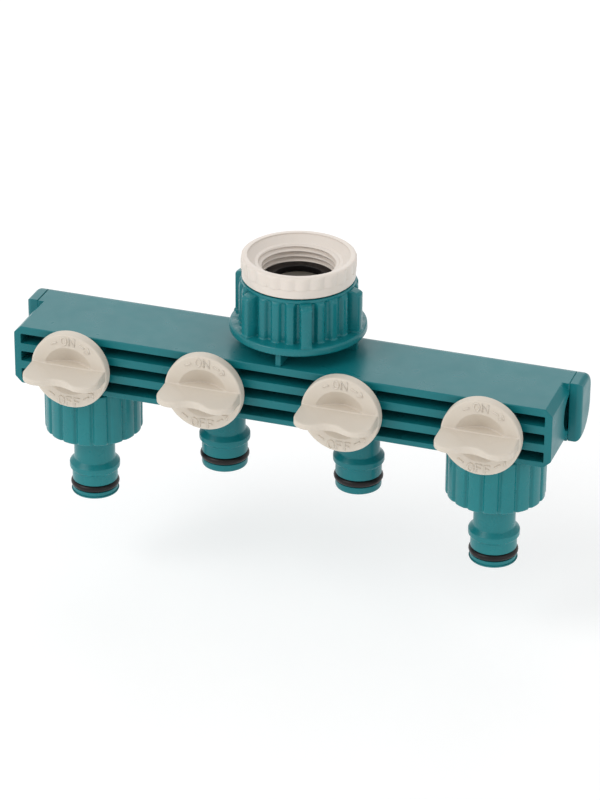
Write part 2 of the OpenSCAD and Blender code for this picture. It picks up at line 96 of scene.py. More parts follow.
def quarterRound(reach, x):
    # rises from 0 to 1 over the reach, as a quarter circle does
    t = min(max(x / reach, 0.0), 1.0)
    return math.sqrt(1 - (1 - t) ** 2)


def rounded(corners, steps=4):
    # a closed outline of (r, z) corners; a third number fillets the corner
    points = []
    for i, corner in enumerate(corners):
        here = Vector(corner[:2])
        if len(corner) == 2:
            points.append(here)
            continue
        before = Vector(corners[i - 1][:2]) - here
        after = Vector(corners[(i + 1) % len(corners)][:2]) - here
        reach = corner[2] / math.tan(before.angle(after) / 2)
        reach = min(reach, 0.48 * before.length, 0.48 * after.length)
        start = here + before.normalized() * reach
        end = here + after.normalized() * reach
        for k in range(steps + 1):
            t = k / steps
            points.append((1 - t) ** 2 * start + 2 * t * (1 - t) * here + t ** 2 * end)
    return points


def finer(points, step):
    # adds points along the long edges of an open outline
    out = [points[0]]
    for a, b in zip(points, points[1:]):
        parts = max(1, math.ceil((b - a).length / step))
        out += [a + (b - a) * (k / parts) for k in range(1, parts + 1)]
    return out


def rows(points, shape=None):
    # one ring of a turned piece for each point; shape moves a point by its angle
    if shape is None:
        return [lambda angle, p=p: (p[0], p[1]) for p in points]
    return [lambda angle, p=p: shape(angle, p[0], p[1]) for p in points]


threadShape = {"crestWidth": 0.3, "flankAngle": 27.5, "stepsPerTurn": 12}


def threadRows(t):
    # rings from the foot up that climb one pitch a turn, so the crest is a true helix
    stepsPerTurn = threadShape["stepsPerTurn"]
    height = t["top"] - t["foot"]
    count = math.ceil((height / t["pitch"] + 1) * stepsPerTurn)
    flank = abs(t["crest"] - t["root"]) * math.tan(math.radians(threadShape["flankAngle"]))

    def ring(k):
        start = t["foot"] - t["pitch"] + k * t["pitch"] / stepsPerTurn
        phase = ((start - t["crestZ"]) / t["pitch"] + 0.5) % 1 - 0.5
        away = abs(phase) * t["pitch"] - threadShape["crestWidth"] / 2
        rise = 1 - smoothStep(-0.1 * flank, 1.1 * flank, away)

        def place(angle):
            z = start + t["pitch"] * angle / (2 * math.pi)
            z = min(max(z, t["foot"]), t["top"])
            fade = smoothStep(0, t["runOut"], z - t["foot"])
            fade *= smoothStep(0, t["runOut"], t["top"] - z)
            return t["root"] + (t["crest"] - t["root"]) * rise * fade, z

        return place

    return [ring(k) for k in range(count + 1)]


def draft(name, mesh):
    # a shape that is still being worked on, one Blender unit to the millimetre
    piece = bpy.data.objects.new(name, mesh)
    bpy.context.scene.collection.objects.link(piece)
    return piece


def finished(piece, sharpAngle=40):
    # smooth shading with crisp corners, at the real size
    piece.data.shade_smooth()
    piece.data.set_sharp_from_angle(angle=math.radians(sharpAngle))
    applied(piece, "WEIGHTED_NORMAL", {"keep_sharp": True})
    piece.data.transform(Matrix.Scale(mm, 4))
    return piece


def closedMesh(name, bm):
    bmesh.ops.remove_doubles(bm, verts=bm.verts, dist=0.002)
    bmesh.ops.dissolve_degenerate(bm, edges=bm.edges, dist=0.001)
    loose = [e for e in bm.edges if not e.link_faces]
    bmesh.ops.delete(bm, geom=loose, context="EDGES")
    bmesh.ops.recalc_face_normals(bm, faces=bm.faces)
    if bm.calc_volume(signed=True) < 0:
        bmesh.ops.reverse_faces(bm, faces=bm.faces)
    mesh = bpy.data.meshes.new(name)
    bm.to_mesh(mesh)
    bm.free()
    return mesh


def turnedMesh(name, rings, segments, turn=Matrix.Identity(4)):
    # lofts a closed loop of rings around Z, then turns and moves the result
    bm = bmesh.new()
    columns = []
    for j in range(segments + 1):
        angle = 2 * math.pi * j / segments
        column = []
        for ring in rings:
            r, z = ring(angle)
            at = turn @ Vector((r * math.cos(angle), r * math.sin(angle), z))
            column.append(bm.verts.new(at))
        columns.append(column)
    for here, there in zip(columns, columns[1:]):
        for k in range(len(rings)):
            after = (k + 1) % len(rings)
            bm.faces.new((here[k], there[k], there[after], here[after]))
    return closedMesh(name, bm)


def applied(piece, kind, settings):
    # adds one modifier, applies it and gives the piece back with its new mesh
    modifier = piece.modifiers.new(kind, kind)
    for name, value in settings.items():
        setattr(modifier, name, value)
    depsgraph = bpy.context.evaluated_depsgraph_get()
    mesh = bpy.data.meshes.new_from_object(piece.evaluated_get(depsgraph))
    piece.modifiers.clear()
    old = piece.data
    piece.data = mesh
    bpy.data.meshes.remove(old)
    return piece


def combined(base, *steps):
    # each step is an operation and a mesh that is used up by it
    for operation, mesh in steps:
        tool = draft("tool", mesh)
        applied(base, "BOOLEAN", {"object": tool, "operation": operation, "solver": "MANIFOLD"})
        bpy.data.objects.remove(tool)
        bpy.data.meshes.remove(mesh)
    return base


def rodMesh(r, start, end, segments=96):
    start, end = Vector(start), Vector(end)
    turn = Matrix.Translation(start) @ (end - start).to_track_quat("Z", "Y").to_matrix().to_4x4()
    length = (end - start).length
    return turnedMesh("rod", rows([(0, 0), (r, 0), (r, length), (0, length)]), segments, turn)


def prismMesh(name, outline, layers, turn=Matrix.Identity(4)):
    # stacks copies of a convex outline; each layer has its own inset and height
    inward = []
    for i, here in enumerate(outline):
        before = (here - outline[i - 1]).normalized()
        after = (outline[(i + 1) % len(outline)] - here).normalized()
        a, b = Vector((-before.y, before.x)), Vector((-after.y, after.x))
        inward.append((a + b) / (1 + a.dot(b)))
    bm = bmesh.new()
    loops = []
    for inset, height in layers:
        points = [p + normal * inset for p, normal in zip(outline, inward)]
        loops.append([bm.verts.new(turn @ Vector((p.x, p.y, height))) for p in points])
    for lower, upper in zip(loops, loops[1:]):
        for i in range(len(outline)):
            j = (i + 1) % len(outline)
            bm.faces.new((lower[i], lower[j], upper[j], upper[i]))
    bm.faces.new(loops[0])
    bm.faces.new(loops[-1])
    return closedMesh(name, bm)


def roundOver(height, edge, steps=5):
    # layers that round the last edge of a prism; a negative edge flares it instead
    out = []
    for k in range(steps + 1):
        a = math.pi / 2 * k / steps
        out.append((edge * (1 - math.cos(a)), height - abs(edge) * (1 - math.sin(a))))
    return out


def rectangle(lowX, lowY, highX, highY, r):
    return rounded([(lowX, lowY, r), (highX, lowY, r), (highX, highY, r), (lowX, highY, r)])


def settle(piece, body, slot, material, *nodes):
    # every piece moves with a body, takes a finish and stands for its CAD nodes
    piece.data.materials.clear()
    piece.data.materials.append(material)
    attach(piece, body)
    if nodes:
        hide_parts(*nodes)


# materials

def linear(hexColour):
    # sRGB hex to the linear colour that a shader takes
    channels = [int(hexColour[i:i + 2], 16) / 255 for i in (1, 3, 5)]
    return [c / 12.92 if c <= 0.04045 else ((c + 0.055) / 1.055) ** 2.4 for c in channels] + [1]


def socket(node, name):
    return next(s for s in node.inputs if name in (s.identifier, s.name))


def addNode(tree, kind, settings, links=None):
    # a setting is a property of the node or the value of one of its sockets
    node = tree.nodes.new(kind)
    for name, value in settings.items():
        if hasattr(node, name):
            setattr(node, name, value)
        else:
            socket(node, name).default_value = value
    for name, source in (links or {}).items():
        tree.links.new(source, socket(node, name))
    return node


def mouldedPlastic(name, m):
    material = bpy.data.materials.new(name)
    material.use_nodes = True
    tree = material.node_tree
    tree.nodes.clear()
    place = addNode(tree, "ShaderNodeTexCoord", {}).outputs["Object"]
    # pigment is never quite even: slow clouds along the flow of the melt
    flow = addNode(tree, "ShaderNodeTexNoise", {
        "Scale": 1 / (m["flowSize"] * mm), "Detail": 3.0, "Roughness": 0.55, "Distortion": 0.6,
    }, {"Vector": place})
    colour = addNode(tree, "ShaderNodeMix", {
        "data_type": "RGBA", "A_Color": linear(m["colour"]), "B_Color": linear(m["cloud"]),
    }, {"Factor_Float": flow.outputs["Fac"]})
    # the mould's surface: a fine grain over a slight unevenness from shrinking
    grain = addNode(tree, "ShaderNodeTexNoise", {
        "Scale": 1 / (m["grainSize"] * mm), "Detail": 2.0, "Roughness": 0.6,
    }, {"Vector": place})
    swell = addNode(tree, "ShaderNodeTexNoise", {
        "Scale": 1 / (m["swellSize"] * mm), "Detail": 1.0, "Roughness": 0.5,
    }, {"Vector": place})
    # most of a noise lies between 0.3 and 0.7
    roughness = addNode(tree, "ShaderNodeMapRange", {
        "From Min": 0.3, "From Max": 0.7, "To Min": m["roughness"][0], "To Max": m["roughness"][1],
    }, {"Value": swell.outputs["Fac"]})
    wave = addNode(tree, "ShaderNodeBump", {
        "Strength": 1.0, "Distance": m["swellDepth"] * mm,
    }, {"Height": swell.outputs["Fac"]})
    bump = addNode(tree, "ShaderNodeBump", {
        "Strength": 1.0, "Distance": m["grainDepth"] * mm,
    }, {"Height": grain.outputs["Fac"], "Normal": wave.outputs["Normal"]})
    shader = addNode(tree, "ShaderNodeBsdfPrincipled", {
        "IOR": m["ior"], "Specular IOR Level": m["specular"], "Subsurface Weight": m["subsurface"],
        "Subsurface Radius": (1.0, 0.8, 0.6), "Subsurface Scale": 1.2 * mm,
    }, {
        "Base Color": colour.outputs[2],  # the third output is the mixed colour
        "Roughness": roughness.outputs["Result"], "Normal": bump.outputs["Normal"],
    })
    addNode(tree, "ShaderNodeOutputMaterial", {}, {"Surface": shader.outputs["BSDF"]})
    return material


# glossy moulded polypropylene: a deep teal that goes pale where the sky is seen at a low angle
tealBody = mouldedPlastic("moulded_polypropylene_teal", {
    "colour": "#0e6b72", "cloud": "#12757b",
    "flowSize": 22, "grainSize": 0.35, "grainDepth": 0.0016, "swellSize": 5,
    "swellDepth": 0.008, "roughness": (0.27, 0.35), "ior": 1.49, "specular": 0.3,
    "subsurface": 0.0,
})
# the nut and the screwed connectors come from other tools, so their gloss and tone differ a little
tealNut = mouldedPlastic("moulded_polypropylene_nut", {
    "colour": "#0d6d74", "cloud": "#127a80",
    "flowSize": 14, "grainSize": 0.3, "grainDepth": 0.0012, "swellSize": 4,
    "swellDepth": 0.006, "roughness": (0.22, 0.3), "ior": 1.49, "specular": 0.36,
    "subsurface": 0.0,
})
tealConnector = mouldedPlastic("moulded_polypropylene_connector", {
    "colour": "#15747a", "cloud": "#1b8085",
    "flowSize": 12, "grainSize": 0.3, "grainDepth": 0.0014, "swellSize": 4,
    "swellDepth": 0.006, "roughness": (0.25, 0.34), "ior": 1.49, "specular": 0.34,
    "subsurface": 0.0,
})
# satin ABS in a warm off-white: soft, broad highlights and a hint of light inside
beigeRing = mouldedPlastic("moulded_abs_ring", {
    "colour": "#dfd5cb", "cloud": "#e5dcd3",
    "flowSize": 12, "grainSize": 0.3, "grainDepth": 0.002, "swellSize": 4,
    "swellDepth": 0.006, "roughness": (0.38, 0.46), "ior": 1.53, "specular": 0.4,
    "subsurface": 0.06,
})
# spark-eroded mould: a finer matt that hides fingermarks
beigeKnob = mouldedPlastic("spark_textured_abs_knob", {
    "colour": "#d3c9bb", "cloud": "#dad1c4",
    "flowSize": 10, "grainSize": 0.28, "grainDepth": 0.0045, "swellSize": 3.5,
    "swellDepth": 0.006, "roughness": (0.48, 0.56), "ior": 1.53, "specular": 0.36,
    "subsurface": 0.06,
})
# moulded acetal: milky and slick, with a brighter gloss
acetalPlug = mouldedPlastic("moulded_acetal_plug", {
    "colour": "#dcd8cd", "cloud": "#e4e1d8",
    "flowSize": 8, "grainSize": 0.25, "grainDepth": 0.001, "swellSize": 3,
    "swellDepth": 0.003, "roughness": (0.3, 0.36), "ior": 1.48, "specular": 0.5,
    "subsurface": 0.1,
})
# moulded nitrile rubber: near black, a little brown, with a soft sheen
blackRubber = mouldedPlastic("moulded_nitrile_rubber", {
    "colour": "#100c0d", "cloud": "#181314",
    "flowSize": 4, "grainSize": 0.2, "grainDepth": 0.003, "swellSize": 2,
    "swellDepth": 0.004, "roughness": (0.34, 0.44), "ior": 1.52, "specular": 0.3,
    "subsurface": 0.0,
})
print("materials are made")


# quick-connect nipple, shared by the body and the screwed connectors
nippleSettings = {
    "landR": 7.75,
    "collarR": 8.6,
    "neckR": 7.0,
    "grooveR": 5.9,
    "groove": (2.6, 5.2),  # heights above the tip
    "collar": (9.85, 11.65),
}


def nippleCorners(s):
    # from the tip up to the neck
    foot, top = s["groove"]
    low, high = s["collar"]
    step = s["collarR"] - s["landR"]
    return [
        (s["landR"], 0, 0.9), (s["landR"], foot, 0.2), (s["grooveR"], foot, 0.2),
        (s["grooveR"], top, 0.2), (s["landR"], top, 0.2),
        (s["landR"], low - step, 0.5), (s["collarR"], low, 0.5), (s["collarR"], high, 0.6),
        (s["neckR"], high + s["collarR"] - s["neckR"], 0.8),
    ]


# main body: a slotted casing in front of the water gallery, with the outlets and inlet spigot
bodySettings = {
    "halfLength": 93.0,
    "topZ": -28.15,
    "footZ": -49.15,
    "frontY": -21.5,
    "edge": 0.4,
    "chamfer": 2.4,
    "endWall": 2.5,
    "slots": ((2.0, 5.5), (8.4, 11.9), (14.8, 18.3)),  # heights above the foot
    "slotEdge": 0.22,
    "slotCorner": 0.35,
    "coreR": 10.5,  # round wall of the gallery, seen at the back of the slots
    "galleryFrontY": -0.9,  # inside the casing
    "galleryBackY": 12.6,
    "galleryCornerR": 5.2,
    "galleryBoreR": 6.5,
    "capOut": 4.2,
    "capRound": 2.0,
    "capFlat": 0.5,
    "capSeam": 0.15,
    "blockR": 9.8,
    "chamberR": 7.0,
    "chamberEndY": -7.3,
    "throatR": 4.35,
    "outletY": -6.4,
    "outletBlockR": 8.75,
    "portY": -11.0,
    "portR": 2.5,
    "sealR": 3.62,
    "outletBoreTop": 2.4,  # above the foot
    "nippleBoreR": 4.5,
    "nippleTipZ": -74.9,
    "spoutBoreR": 9.0,
    "spoutRootR": 11.9,
    "spoutCrestR": 13.05,
    "spoutFootZ": -62.65,
    "spoutPitch": 1.814,
    "spoutThreadTopZ": -52.9,
    "spigotR": 12.9,
    "spigotTopZ": -15.75,
    "spigotFlange": (14.6, 2.8),
    "spigotFootEdge": 0.4,
    "spigotBoreR": 8.0,
    "passageR": 6.0,
    "webReach": 20.6,
    "webT": 1.9,
    "webTopZ": -23.65,
}


def casingSteps(s):
    # outlines lie in XZ and the layers run forward from the gallery's axis
    a, low, high, c = s["halfLength"], s["footZ"], s["topZ"], s["chamfer"]
    forward = Matrix.Rotation(math.pi / 2, 4, "X")
    depth = -s["frontY"]
    e = 2 * s["edge"]
    outline = rounded([
        (-a + c, low, e), (a - c, low, e), (a, low + c, e), (a, high - c, e),
        (a - c, high, e), (-a + c, high, e), (-a, high - c, e), (-a, low + c, e),
    ])
    casing = prismMesh("casing", outline, [(0, 0)] + roundOver(depth, s["edge"]), forward)
    steps = []
    inner = a - s["endWall"]
    for bottom, top in s["slots"]:
        mouth = rectangle(-inner, low + bottom, inner, low + top, s["slotCorner"])
        layers = [(0, -1)] + roundOver(depth, -s["slotEdge"]) + [(-s["slotEdge"], depth + 1)]
        steps.append(("DIFFERENCE", prismMesh("slot", mouth, layers, forward)))
    return casing, steps


def spigotSteps(s):
    flangeR, flangeT = s["spigotFlange"]
    top, low, r = s["spigotTopZ"], s["topZ"], s["spigotR"]
    middle = (s["topZ"] + s["footZ"]) / 2
    pipe = rounded([
        (0, low - 2), (r, low - 2), (r, top - flangeT, 0.3), (flangeR, top - flangeT, 0.3),
        (flangeR, top, 0.5), (0, top),
    ])
    steps = [("UNION", turnedMesh("spigot", rows(pipe), 128))]
    # behind the casing its foot goes down the gallery
    turns = [math.pi * k / 48 for k in range(49)]
    half = [Vector((r * math.cos(a), r * math.sin(a))) for a in turns]
    edge = s["spigotFootEdge"]
    layers = [(edge, middle), (0, middle + edge), (0, low)]
    steps.append(("UNION", prismMesh("spigot_foot", half, layers)))
    web = rectangle(r - 1, -s["webT"] / 2, s["webReach"], s["webT"] / 2, 0.3)
    for turn in (0, 180, 270):
        at = Matrix.Rotation(math.radians(turn), 4, "Z")
        steps.append(("UNION", prismMesh("web", web, [(0, low - 1), (0, s["webTopZ"])], at)))
    return steps


def outletSteps(s, x, screwed):
    middle = (s["topZ"] + s["footZ"]) / 2
    foot, y = s["footZ"], s["outletY"]
    steps = [
        ("UNION", rodMesh(s["blockR"], (x, 0, middle), (x, s["frontY"], middle))),
        ("UNION", rodMesh(s["outletBlockR"], (x, y, foot), (x, y, middle))),
    ]
    if screwed:
        root, end = s["spoutRootR"], s["spoutFootZ"]
        start = end + 0.7
        thread = {
            "root": root, "crest": s["spoutCrestR"], "pitch": s["spoutPitch"], "foot": start,
            "top": s["spoutThreadTopZ"], "crestZ": s["spoutThreadTopZ"] - 1.6, "runOut": 1,
        }
        rings = rows(rounded([(0, end), (root, end, 0.6), (root, start)])) + threadRows(thread)
        rings += rows([(root, foot + 1), (0, foot + 1)])
        steps.append(("UNION", turnedMesh("spout", rings, 192, Matrix.Translation((x, y, 0)))))
    else:
        tip = s["nippleTipZ"]
        corners = [(0, 0)] + nippleCorners(nippleSettings)
        corners += [(nippleSettings["neckR"], foot + 1 - tip), (0, foot + 1 - tip)]
        at = Matrix.Translation((x, y, tip))
        steps.append(("UNION", turnedMesh("nipple", rows(rounded(corners)), 160, at)))
    return steps


def boreSteps(s, x, screwed):
    # the valve chamber with its throat, the port with its seal pocket, and the outlet
    middle = (s["topZ"] + s["footZ"]) / 2
    foot, y, end = s["footZ"], s["outletY"], s["chamberEndY"]
    low = s["spoutFootZ"] if screwed else s["nippleTipZ"]
    r = s["spoutBoreR"] if screwed else s["nippleBoreR"]
    sealFoot = boxMm("port_seal_1")[0].z
    length = foot + s["outletBoreTop"] - low
    bore = turnedMesh("outlet_bore", rows([
        (0, -1), (r + 1.4, -1), (r, 0.4), (r, length), (0, length),
    ]), 96, Matrix.Translation((x, y, low)))
    return [("DIFFERENCE", mesh) for mesh in (
        rodMesh(s["chamberR"], (x, s["frontY"] - 1, middle), (x, end, middle)),
        rodMesh(s["throatR"], (x, end - 1, middle), (x, 0, middle)),
        rodMesh(s["portR"], (x, s["portY"], foot + 0.6), (x, s["portY"], middle), 48),
        rodMesh(s["sealR"], (x, s["portY"], sealFoot), (x, s["portY"], middle), 64),
        bore,
    )]


def gallerySection(s, frontY):
    # half above and half below the middle: a full corner behind the flat top, a round underside
    half = (s["topZ"] - s["footZ"]) / 2
    corner = s["galleryCornerR"]
    roundY, cornerY = s["galleryBackY"] - half, s["galleryBackY"] - corner
    outline = [Vector((-half, frontY)), Vector((half, frontY))]
    for k in range(17):
        a = math.pi / 2 * k / 16
        across = half - corner + corner * math.cos(a)
        outline.append(Vector((across, cornerY + corner * math.sin(a))))
    for k in range(33):
        a = math.pi / 2 * (1 + k / 32)
        outline.append(Vector((half * math.cos(a), roundY + half * math.sin(a))))
    return outline


def alongX(x, z, side):
    # local X, Y and Z run along the part's Z, Y and X
    return Matrix(((0, 0, side, x), (0, 1, 0, 0), (1, 0, 0, z), (0, 0, 0, 1)))


def bodyPiece(s):
    middle = (s["topZ"] + s["footZ"]) / 2
    a = s["halfLength"]
    length = 2 * a
    layers = [(s["edge"], 0), (0, s["edge"])] + roundOver(length, s["edge"])
    tube = prismMesh("gallery", gallerySection(s, s["galleryFrontY"]), layers, alongX(-a, middle, 1))
    casing, slots = casingSteps(s)
    core = rodMesh(s["coreR"], (-a + s["endWall"], 0, middle), (a - s["endWall"], 0, middle), 160)
    piece = draft("body_moulding", casing)
    combined(piece, *slots, ("UNION", tube), ("UNION", core), *spigotSteps(s))
    # the outer two outlets take screwed connectors
    places = [(mountAt[f"outlet_{i}"].x, i in (1, outletCount)) for i in range(1, outletCount + 1)]
    for x, screwed in places:
        combined(piece, *outletSteps(s, x, screwed))
    bore = rodMesh(s["galleryBoreR"], (-a - 1, 0, middle), (a + 1, 0, middle))
    combined(piece, ("DIFFERENCE", bore))
    for x, screwed in places:
        combined(piece, *boreSteps(s, x, screwed))
    top = s["topZ"]
    inlet = rodMesh(s["spigotBoreR"], (0, 0, top), (0, 0, s["spigotTopZ"] + 1))
    passage = rodMesh(s["passageR"], (0, 0, middle), (0, 0, top + 1))
    combined(piece, ("DIFFERENCE", inlet), ("DIFFERENCE", passage))
    return finished(piece, sharpAngle=35)


def capPiece(s, side, name):
    # a cap with a rounded face over the open end of the gallery
    middle = (s["topZ"] + s["footZ"]) / 2
    layers = [(s["capSeam"], 0), (0, s["capSeam"])] + roundOver(s["capOut"], s["capRound"], 8)
    turn = alongX(side * s["halfLength"], middle, side)
    piece = draft(name, prismMesh(name, gallerySection(s, -s["capFlat"]), layers, turn))
    return finished(piece, sharpAngle=35)


body = bodyPiece(bodySettings)
settle(body, "manifold", "teal_plastic", tealBody, "manifold_body")
for side, word in ((-1, "left"), (1, "right")):
    cap = capPiece(bodySettings, side, "gallery_cap_" + word)
    settle(cap, "manifold", "teal_plastic", tealBody, "end_cap_" + word)
print("body and end caps are made")


# swivel nut: barrel with grips, foot flange, and the female thread that the adapter screws into
nutSettings = {
    "segments": 432,
    "grips": 24,  # every fourth is a large one
    "turn": -4.3,  # degrees
    "valleyR": 18.35,
    "bandR": 18.95,
    "bandH": 1.1,
    "smallR": 19.75,
    "smallHalf": 1.5,
    "largeR": 22.35,
    "largeHalf": 1.95,
    "smallCrown": 0.1,
    "largeCrown": 0.12,
    "shoulder": 1.3,
    "flangeT": 2.8,
    "rootR": 16.7,
    "crestR": 15.3,
    "pitch": 2.309,
    "boreR": 13.2,
    "seatZ": -18.95,
    "threadFootZ": -14.95,
}


def nutMesh(s):
    low, high = boxMm("inlet_nut")
    top, foot, flangeR = high.z, low.z, high.x
    flangeTop = foot + s["flangeT"]
    gripTop = top - s["bandH"]

    def grips(angle, r, z):
        place = (math.degrees(angle) - s["turn"]) * s["grips"] / 360
        nearest = round(place)
        away = abs(place - nearest) * 2 * math.pi * s["smallR"] / s["grips"]
        lift = quarterRound(s["shoulder"], gripTop - z)
        fade = 1 - smoothStep(s["smallR"], flangeR - 0.3, r)
        if nearest % 4 == 0:
            height = s["largeR"] - s["valleyR"] - s["largeCrown"] * away ** 2
            rise = 1 - smoothStep(s["largeHalf"] - 0.35, s["largeHalf"] + 0.25, away)
        else:
            height = s["smallR"] - s["valleyR"] - s["smallCrown"] * away ** 2
            rise = 1 - smoothStep(s["smallHalf"] - 0.45, s["smallHalf"] + 0.65, away)
        return min(r + height * rise * lift * fade, max(r, flangeR - 0.35)), z

    outer = rounded([
        (s["rootR"] + 0.4, top, 0.2), (s["bandR"], top, 0.5), (s["bandR"], gripTop + 0.2, 0.2),
        (s["valleyR"], gripTop - 0.5, 0.4), (s["valleyR"], flangeTop + 0.1, 0.7),
        (flangeR - 0.2, flangeTop - 0.3, 0.8), (flangeR, foot, 0.6), (s["boreR"], foot, 0.3),
    ])
    inner = rounded([
        (s["boreR"], foot), (s["boreR"], s["seatZ"], 0.15), (s["crestR"], s["seatZ"], 0.2),
        (s["crestR"], s["threadFootZ"] - 0.9, 0.2), (s["rootR"], s["threadFootZ"], 0.1),
        (s["rootR"], top),
    ])
    thread = {
        "root": s["rootR"], "crest": s["crestR"], "pitch": s["pitch"],
        "foot": s["threadFootZ"] + 0.1, "top": top - 0.5, "crestZ": top - 1.4, "runOut": 1.2,
    }
    rings = rows(finer(outer, 0.45), grips) + rows(inner[1:-1]) + threadRows(thread)
    return turnedMesh("swivel_nut", rings, s["segments"])


nut = finished(draft("swivel_nut", nutMesh(nutSettings)), sharpAngle=50)
settle(nut, "inlet_coupling", "nut_plastic", tealNut, "inlet_nut")
print("swivel nut is made")


# adapter ring: scalloped rim, flared mouth, tap thread inside and the coupling thread outside
ringSettings = {
    "segments": 400,
    "scallops": 24,
    "scallopDepth": 0.6,
    "rimFootZ": -1.4,
    "bandR": 18.75,
    "bandFootZ": -4.35,
    "mouthR": 16.7,
    "mouthFootR": 14.5,
    "mouthFootZ": 0.8,
    "tapRootR": 13.3,
    "tapCrestR": 12.15,
    "tapPitch": 1.814,
    "seatZ": -7.128,
    "boreR": 10.8,
    "outerRootR": 15.05,
    "outerCrestR": 16.45,
    "outerPitch": 2.309,
}


def ringMesh(s):
    low, high = boxMm("adapter_ring")
    rimR, top, foot = high.x, high.z, low.z

    def scallops(angle, r, z):
        # finger grips that are deepest at the rim's lower edge
        lobe = math.sqrt(math.sin(s["scallops"] * angle / 2) ** 2 + 0.01)
        depth = s["scallopDepth"] * (0.15 + 0.85 * quarterRound(top - s["rimFootZ"], top - z))
        return r - depth * (1 - lobe) * smoothStep(s["bandR"], rimR, r), z

    rim = rounded([
        (s["mouthR"], top, 0.35), (rimR, top, 1.2),
        (rimR, s["rimFootZ"], 0.3), (s["bandR"], s["rimFootZ"], 0.1),
    ])
    neck = rounded([
        (s["bandR"], s["rimFootZ"]), (s["bandR"], s["bandFootZ"], 0.2),
        (s["outerRootR"], s["bandFootZ"], 0.2), (s["outerRootR"], s["bandFootZ"] - 0.5),
    ])
    end = rounded([
        (s["outerRootR"], foot + 0.6), (s["outerRootR"], foot, 0.5), (s["boreR"], foot, 0.3),
        (s["boreR"], s["seatZ"], 0.2), (s["tapRootR"], s["seatZ"]),
    ])
    mouth = rounded([
        (s["tapRootR"], s["mouthFootZ"] - 0.6),
        (s["tapRootR"] + 0.15, s["mouthFootZ"] - 0.15, 0.15),
        (s["mouthFootR"], s["mouthFootZ"], 0.2), (s["mouthR"] - 0.1, top - 0.2),
    ], 6)
    outside = {
        "root": s["outerRootR"], "crest": s["outerCrestR"], "pitch": s["outerPitch"],
        "foot": foot + 0.7, "top": s["bandFootZ"] - 0.6,
        "crestZ": s["bandFootZ"] - 1.9 - s["outerPitch"] / 2, "runOut": 1.2,
    }
    inside = {
        "root": s["tapRootR"], "crest": s["tapCrestR"], "pitch": s["tapPitch"],
        "foot": s["seatZ"] + 0.3, "top": s["mouthFootZ"] - 0.3, "crestZ": -0.15, "runOut": 0.7,
    }
    rings = rows(finer(rim, 0.4), scallops) + rows(neck[1:]) + threadRows(outside)[::-1]
    rings += rows(end) + threadRows(inside) + rows(mouth[2:-1])
    return turnedMesh("thread_adapter", rings, s["segments"])


ring = finished(draft("thread_adapter", ringMesh(ringSettings)), sharpAngle=50)
settle(ring, "inlet_coupling", "beige_ring_plastic", beigeRing, "adapter_ring")
print("adapter ring is made")


# rubber washers and O-rings
rubberSettings = {"edge": 0.25, "segments": 160, "oRingSteps": 28}


def washer(name, node, boreR, body):
    low, high = boxMm(node)
    middle = (low + high) / 2
    outerR = (high.x - low.x) / 2
    edge = rubberSettings["edge"]
    outline = rounded([
        (outerR, low.z, edge), (outerR, high.z, edge), (boreR, high.z, edge), (boreR, low.z, edge),
    ])
    at = Matrix.Translation((middle.x, middle.y, 0))
    piece = finished(draft(name, turnedMesh(name, rows(outline), rubberSettings["segments"], at)))
    settle(piece, body, "black_rubber", blackRubber, node)


washer("inlet_washer", "tap_washer", 8.5, "inlet_coupling")
washer("spigot_gasket", "swivel_gasket", 9.5, "inlet_coupling")
for side in ("left", "right"):
    washer("connector_washer_rubber_" + side, "connector_washer_" + side, 7.5, "manifold")


def oRing(name, node, body):
    # the ring lies flat in the plane of its two long sides
    low, high = boxMm(node)
    size, middle = high - low, (low + high) / 2
    upright = size.y < size.z  # a ring around a valve plug has its axis along Y
    section = (size.y if upright else size.z) / 2
    outerR = size.x / 2
    turn = Matrix.Rotation(math.pi / 2, 4, "X") if upright else Matrix.Identity(4)
    count = rubberSettings["oRingSteps"]
    circle = []
    for k in range(count):
        around = 2 * math.pi * k / count
        circle.append((outerR - section + section * math.cos(around), section * math.sin(around)))
    at = Matrix.Translation(middle) @ turn
    piece = finished(draft(name, turnedMesh(name, rows(circle), rubberSettings["segments"], at)))
    settle(piece, body, "black_rubber", blackRubber, node)


for i in range(1, outletCount + 1):
    oRing(f"outlet_seal_{i}", f"nipple_o_ring_{i}", "manifold")
    oRing(f"plug_seal_{i}", f"plug_o_ring_{i}", f"valve_{i}")
print("rubber parts are made")


# screwed connectors: a lobed nut with a quick-connect nipple under it, in one moulding
connectorSettings = {
    "segments": 432,
    "lobes": 18,
    "valleyR": 15.75,
    "valleyHalf": 0.75,
    "nutFoot": 25.2,  # this and the next heights are measured up from the tip
    "floor": 28.9,
    "shelfR": 8.75,
    "shelfH": 1.3,
    "crown": 0.25,
    "boreR": 4.5,
    "rootR": 13.3,  # plain inside, where the spout's thread hides it
}


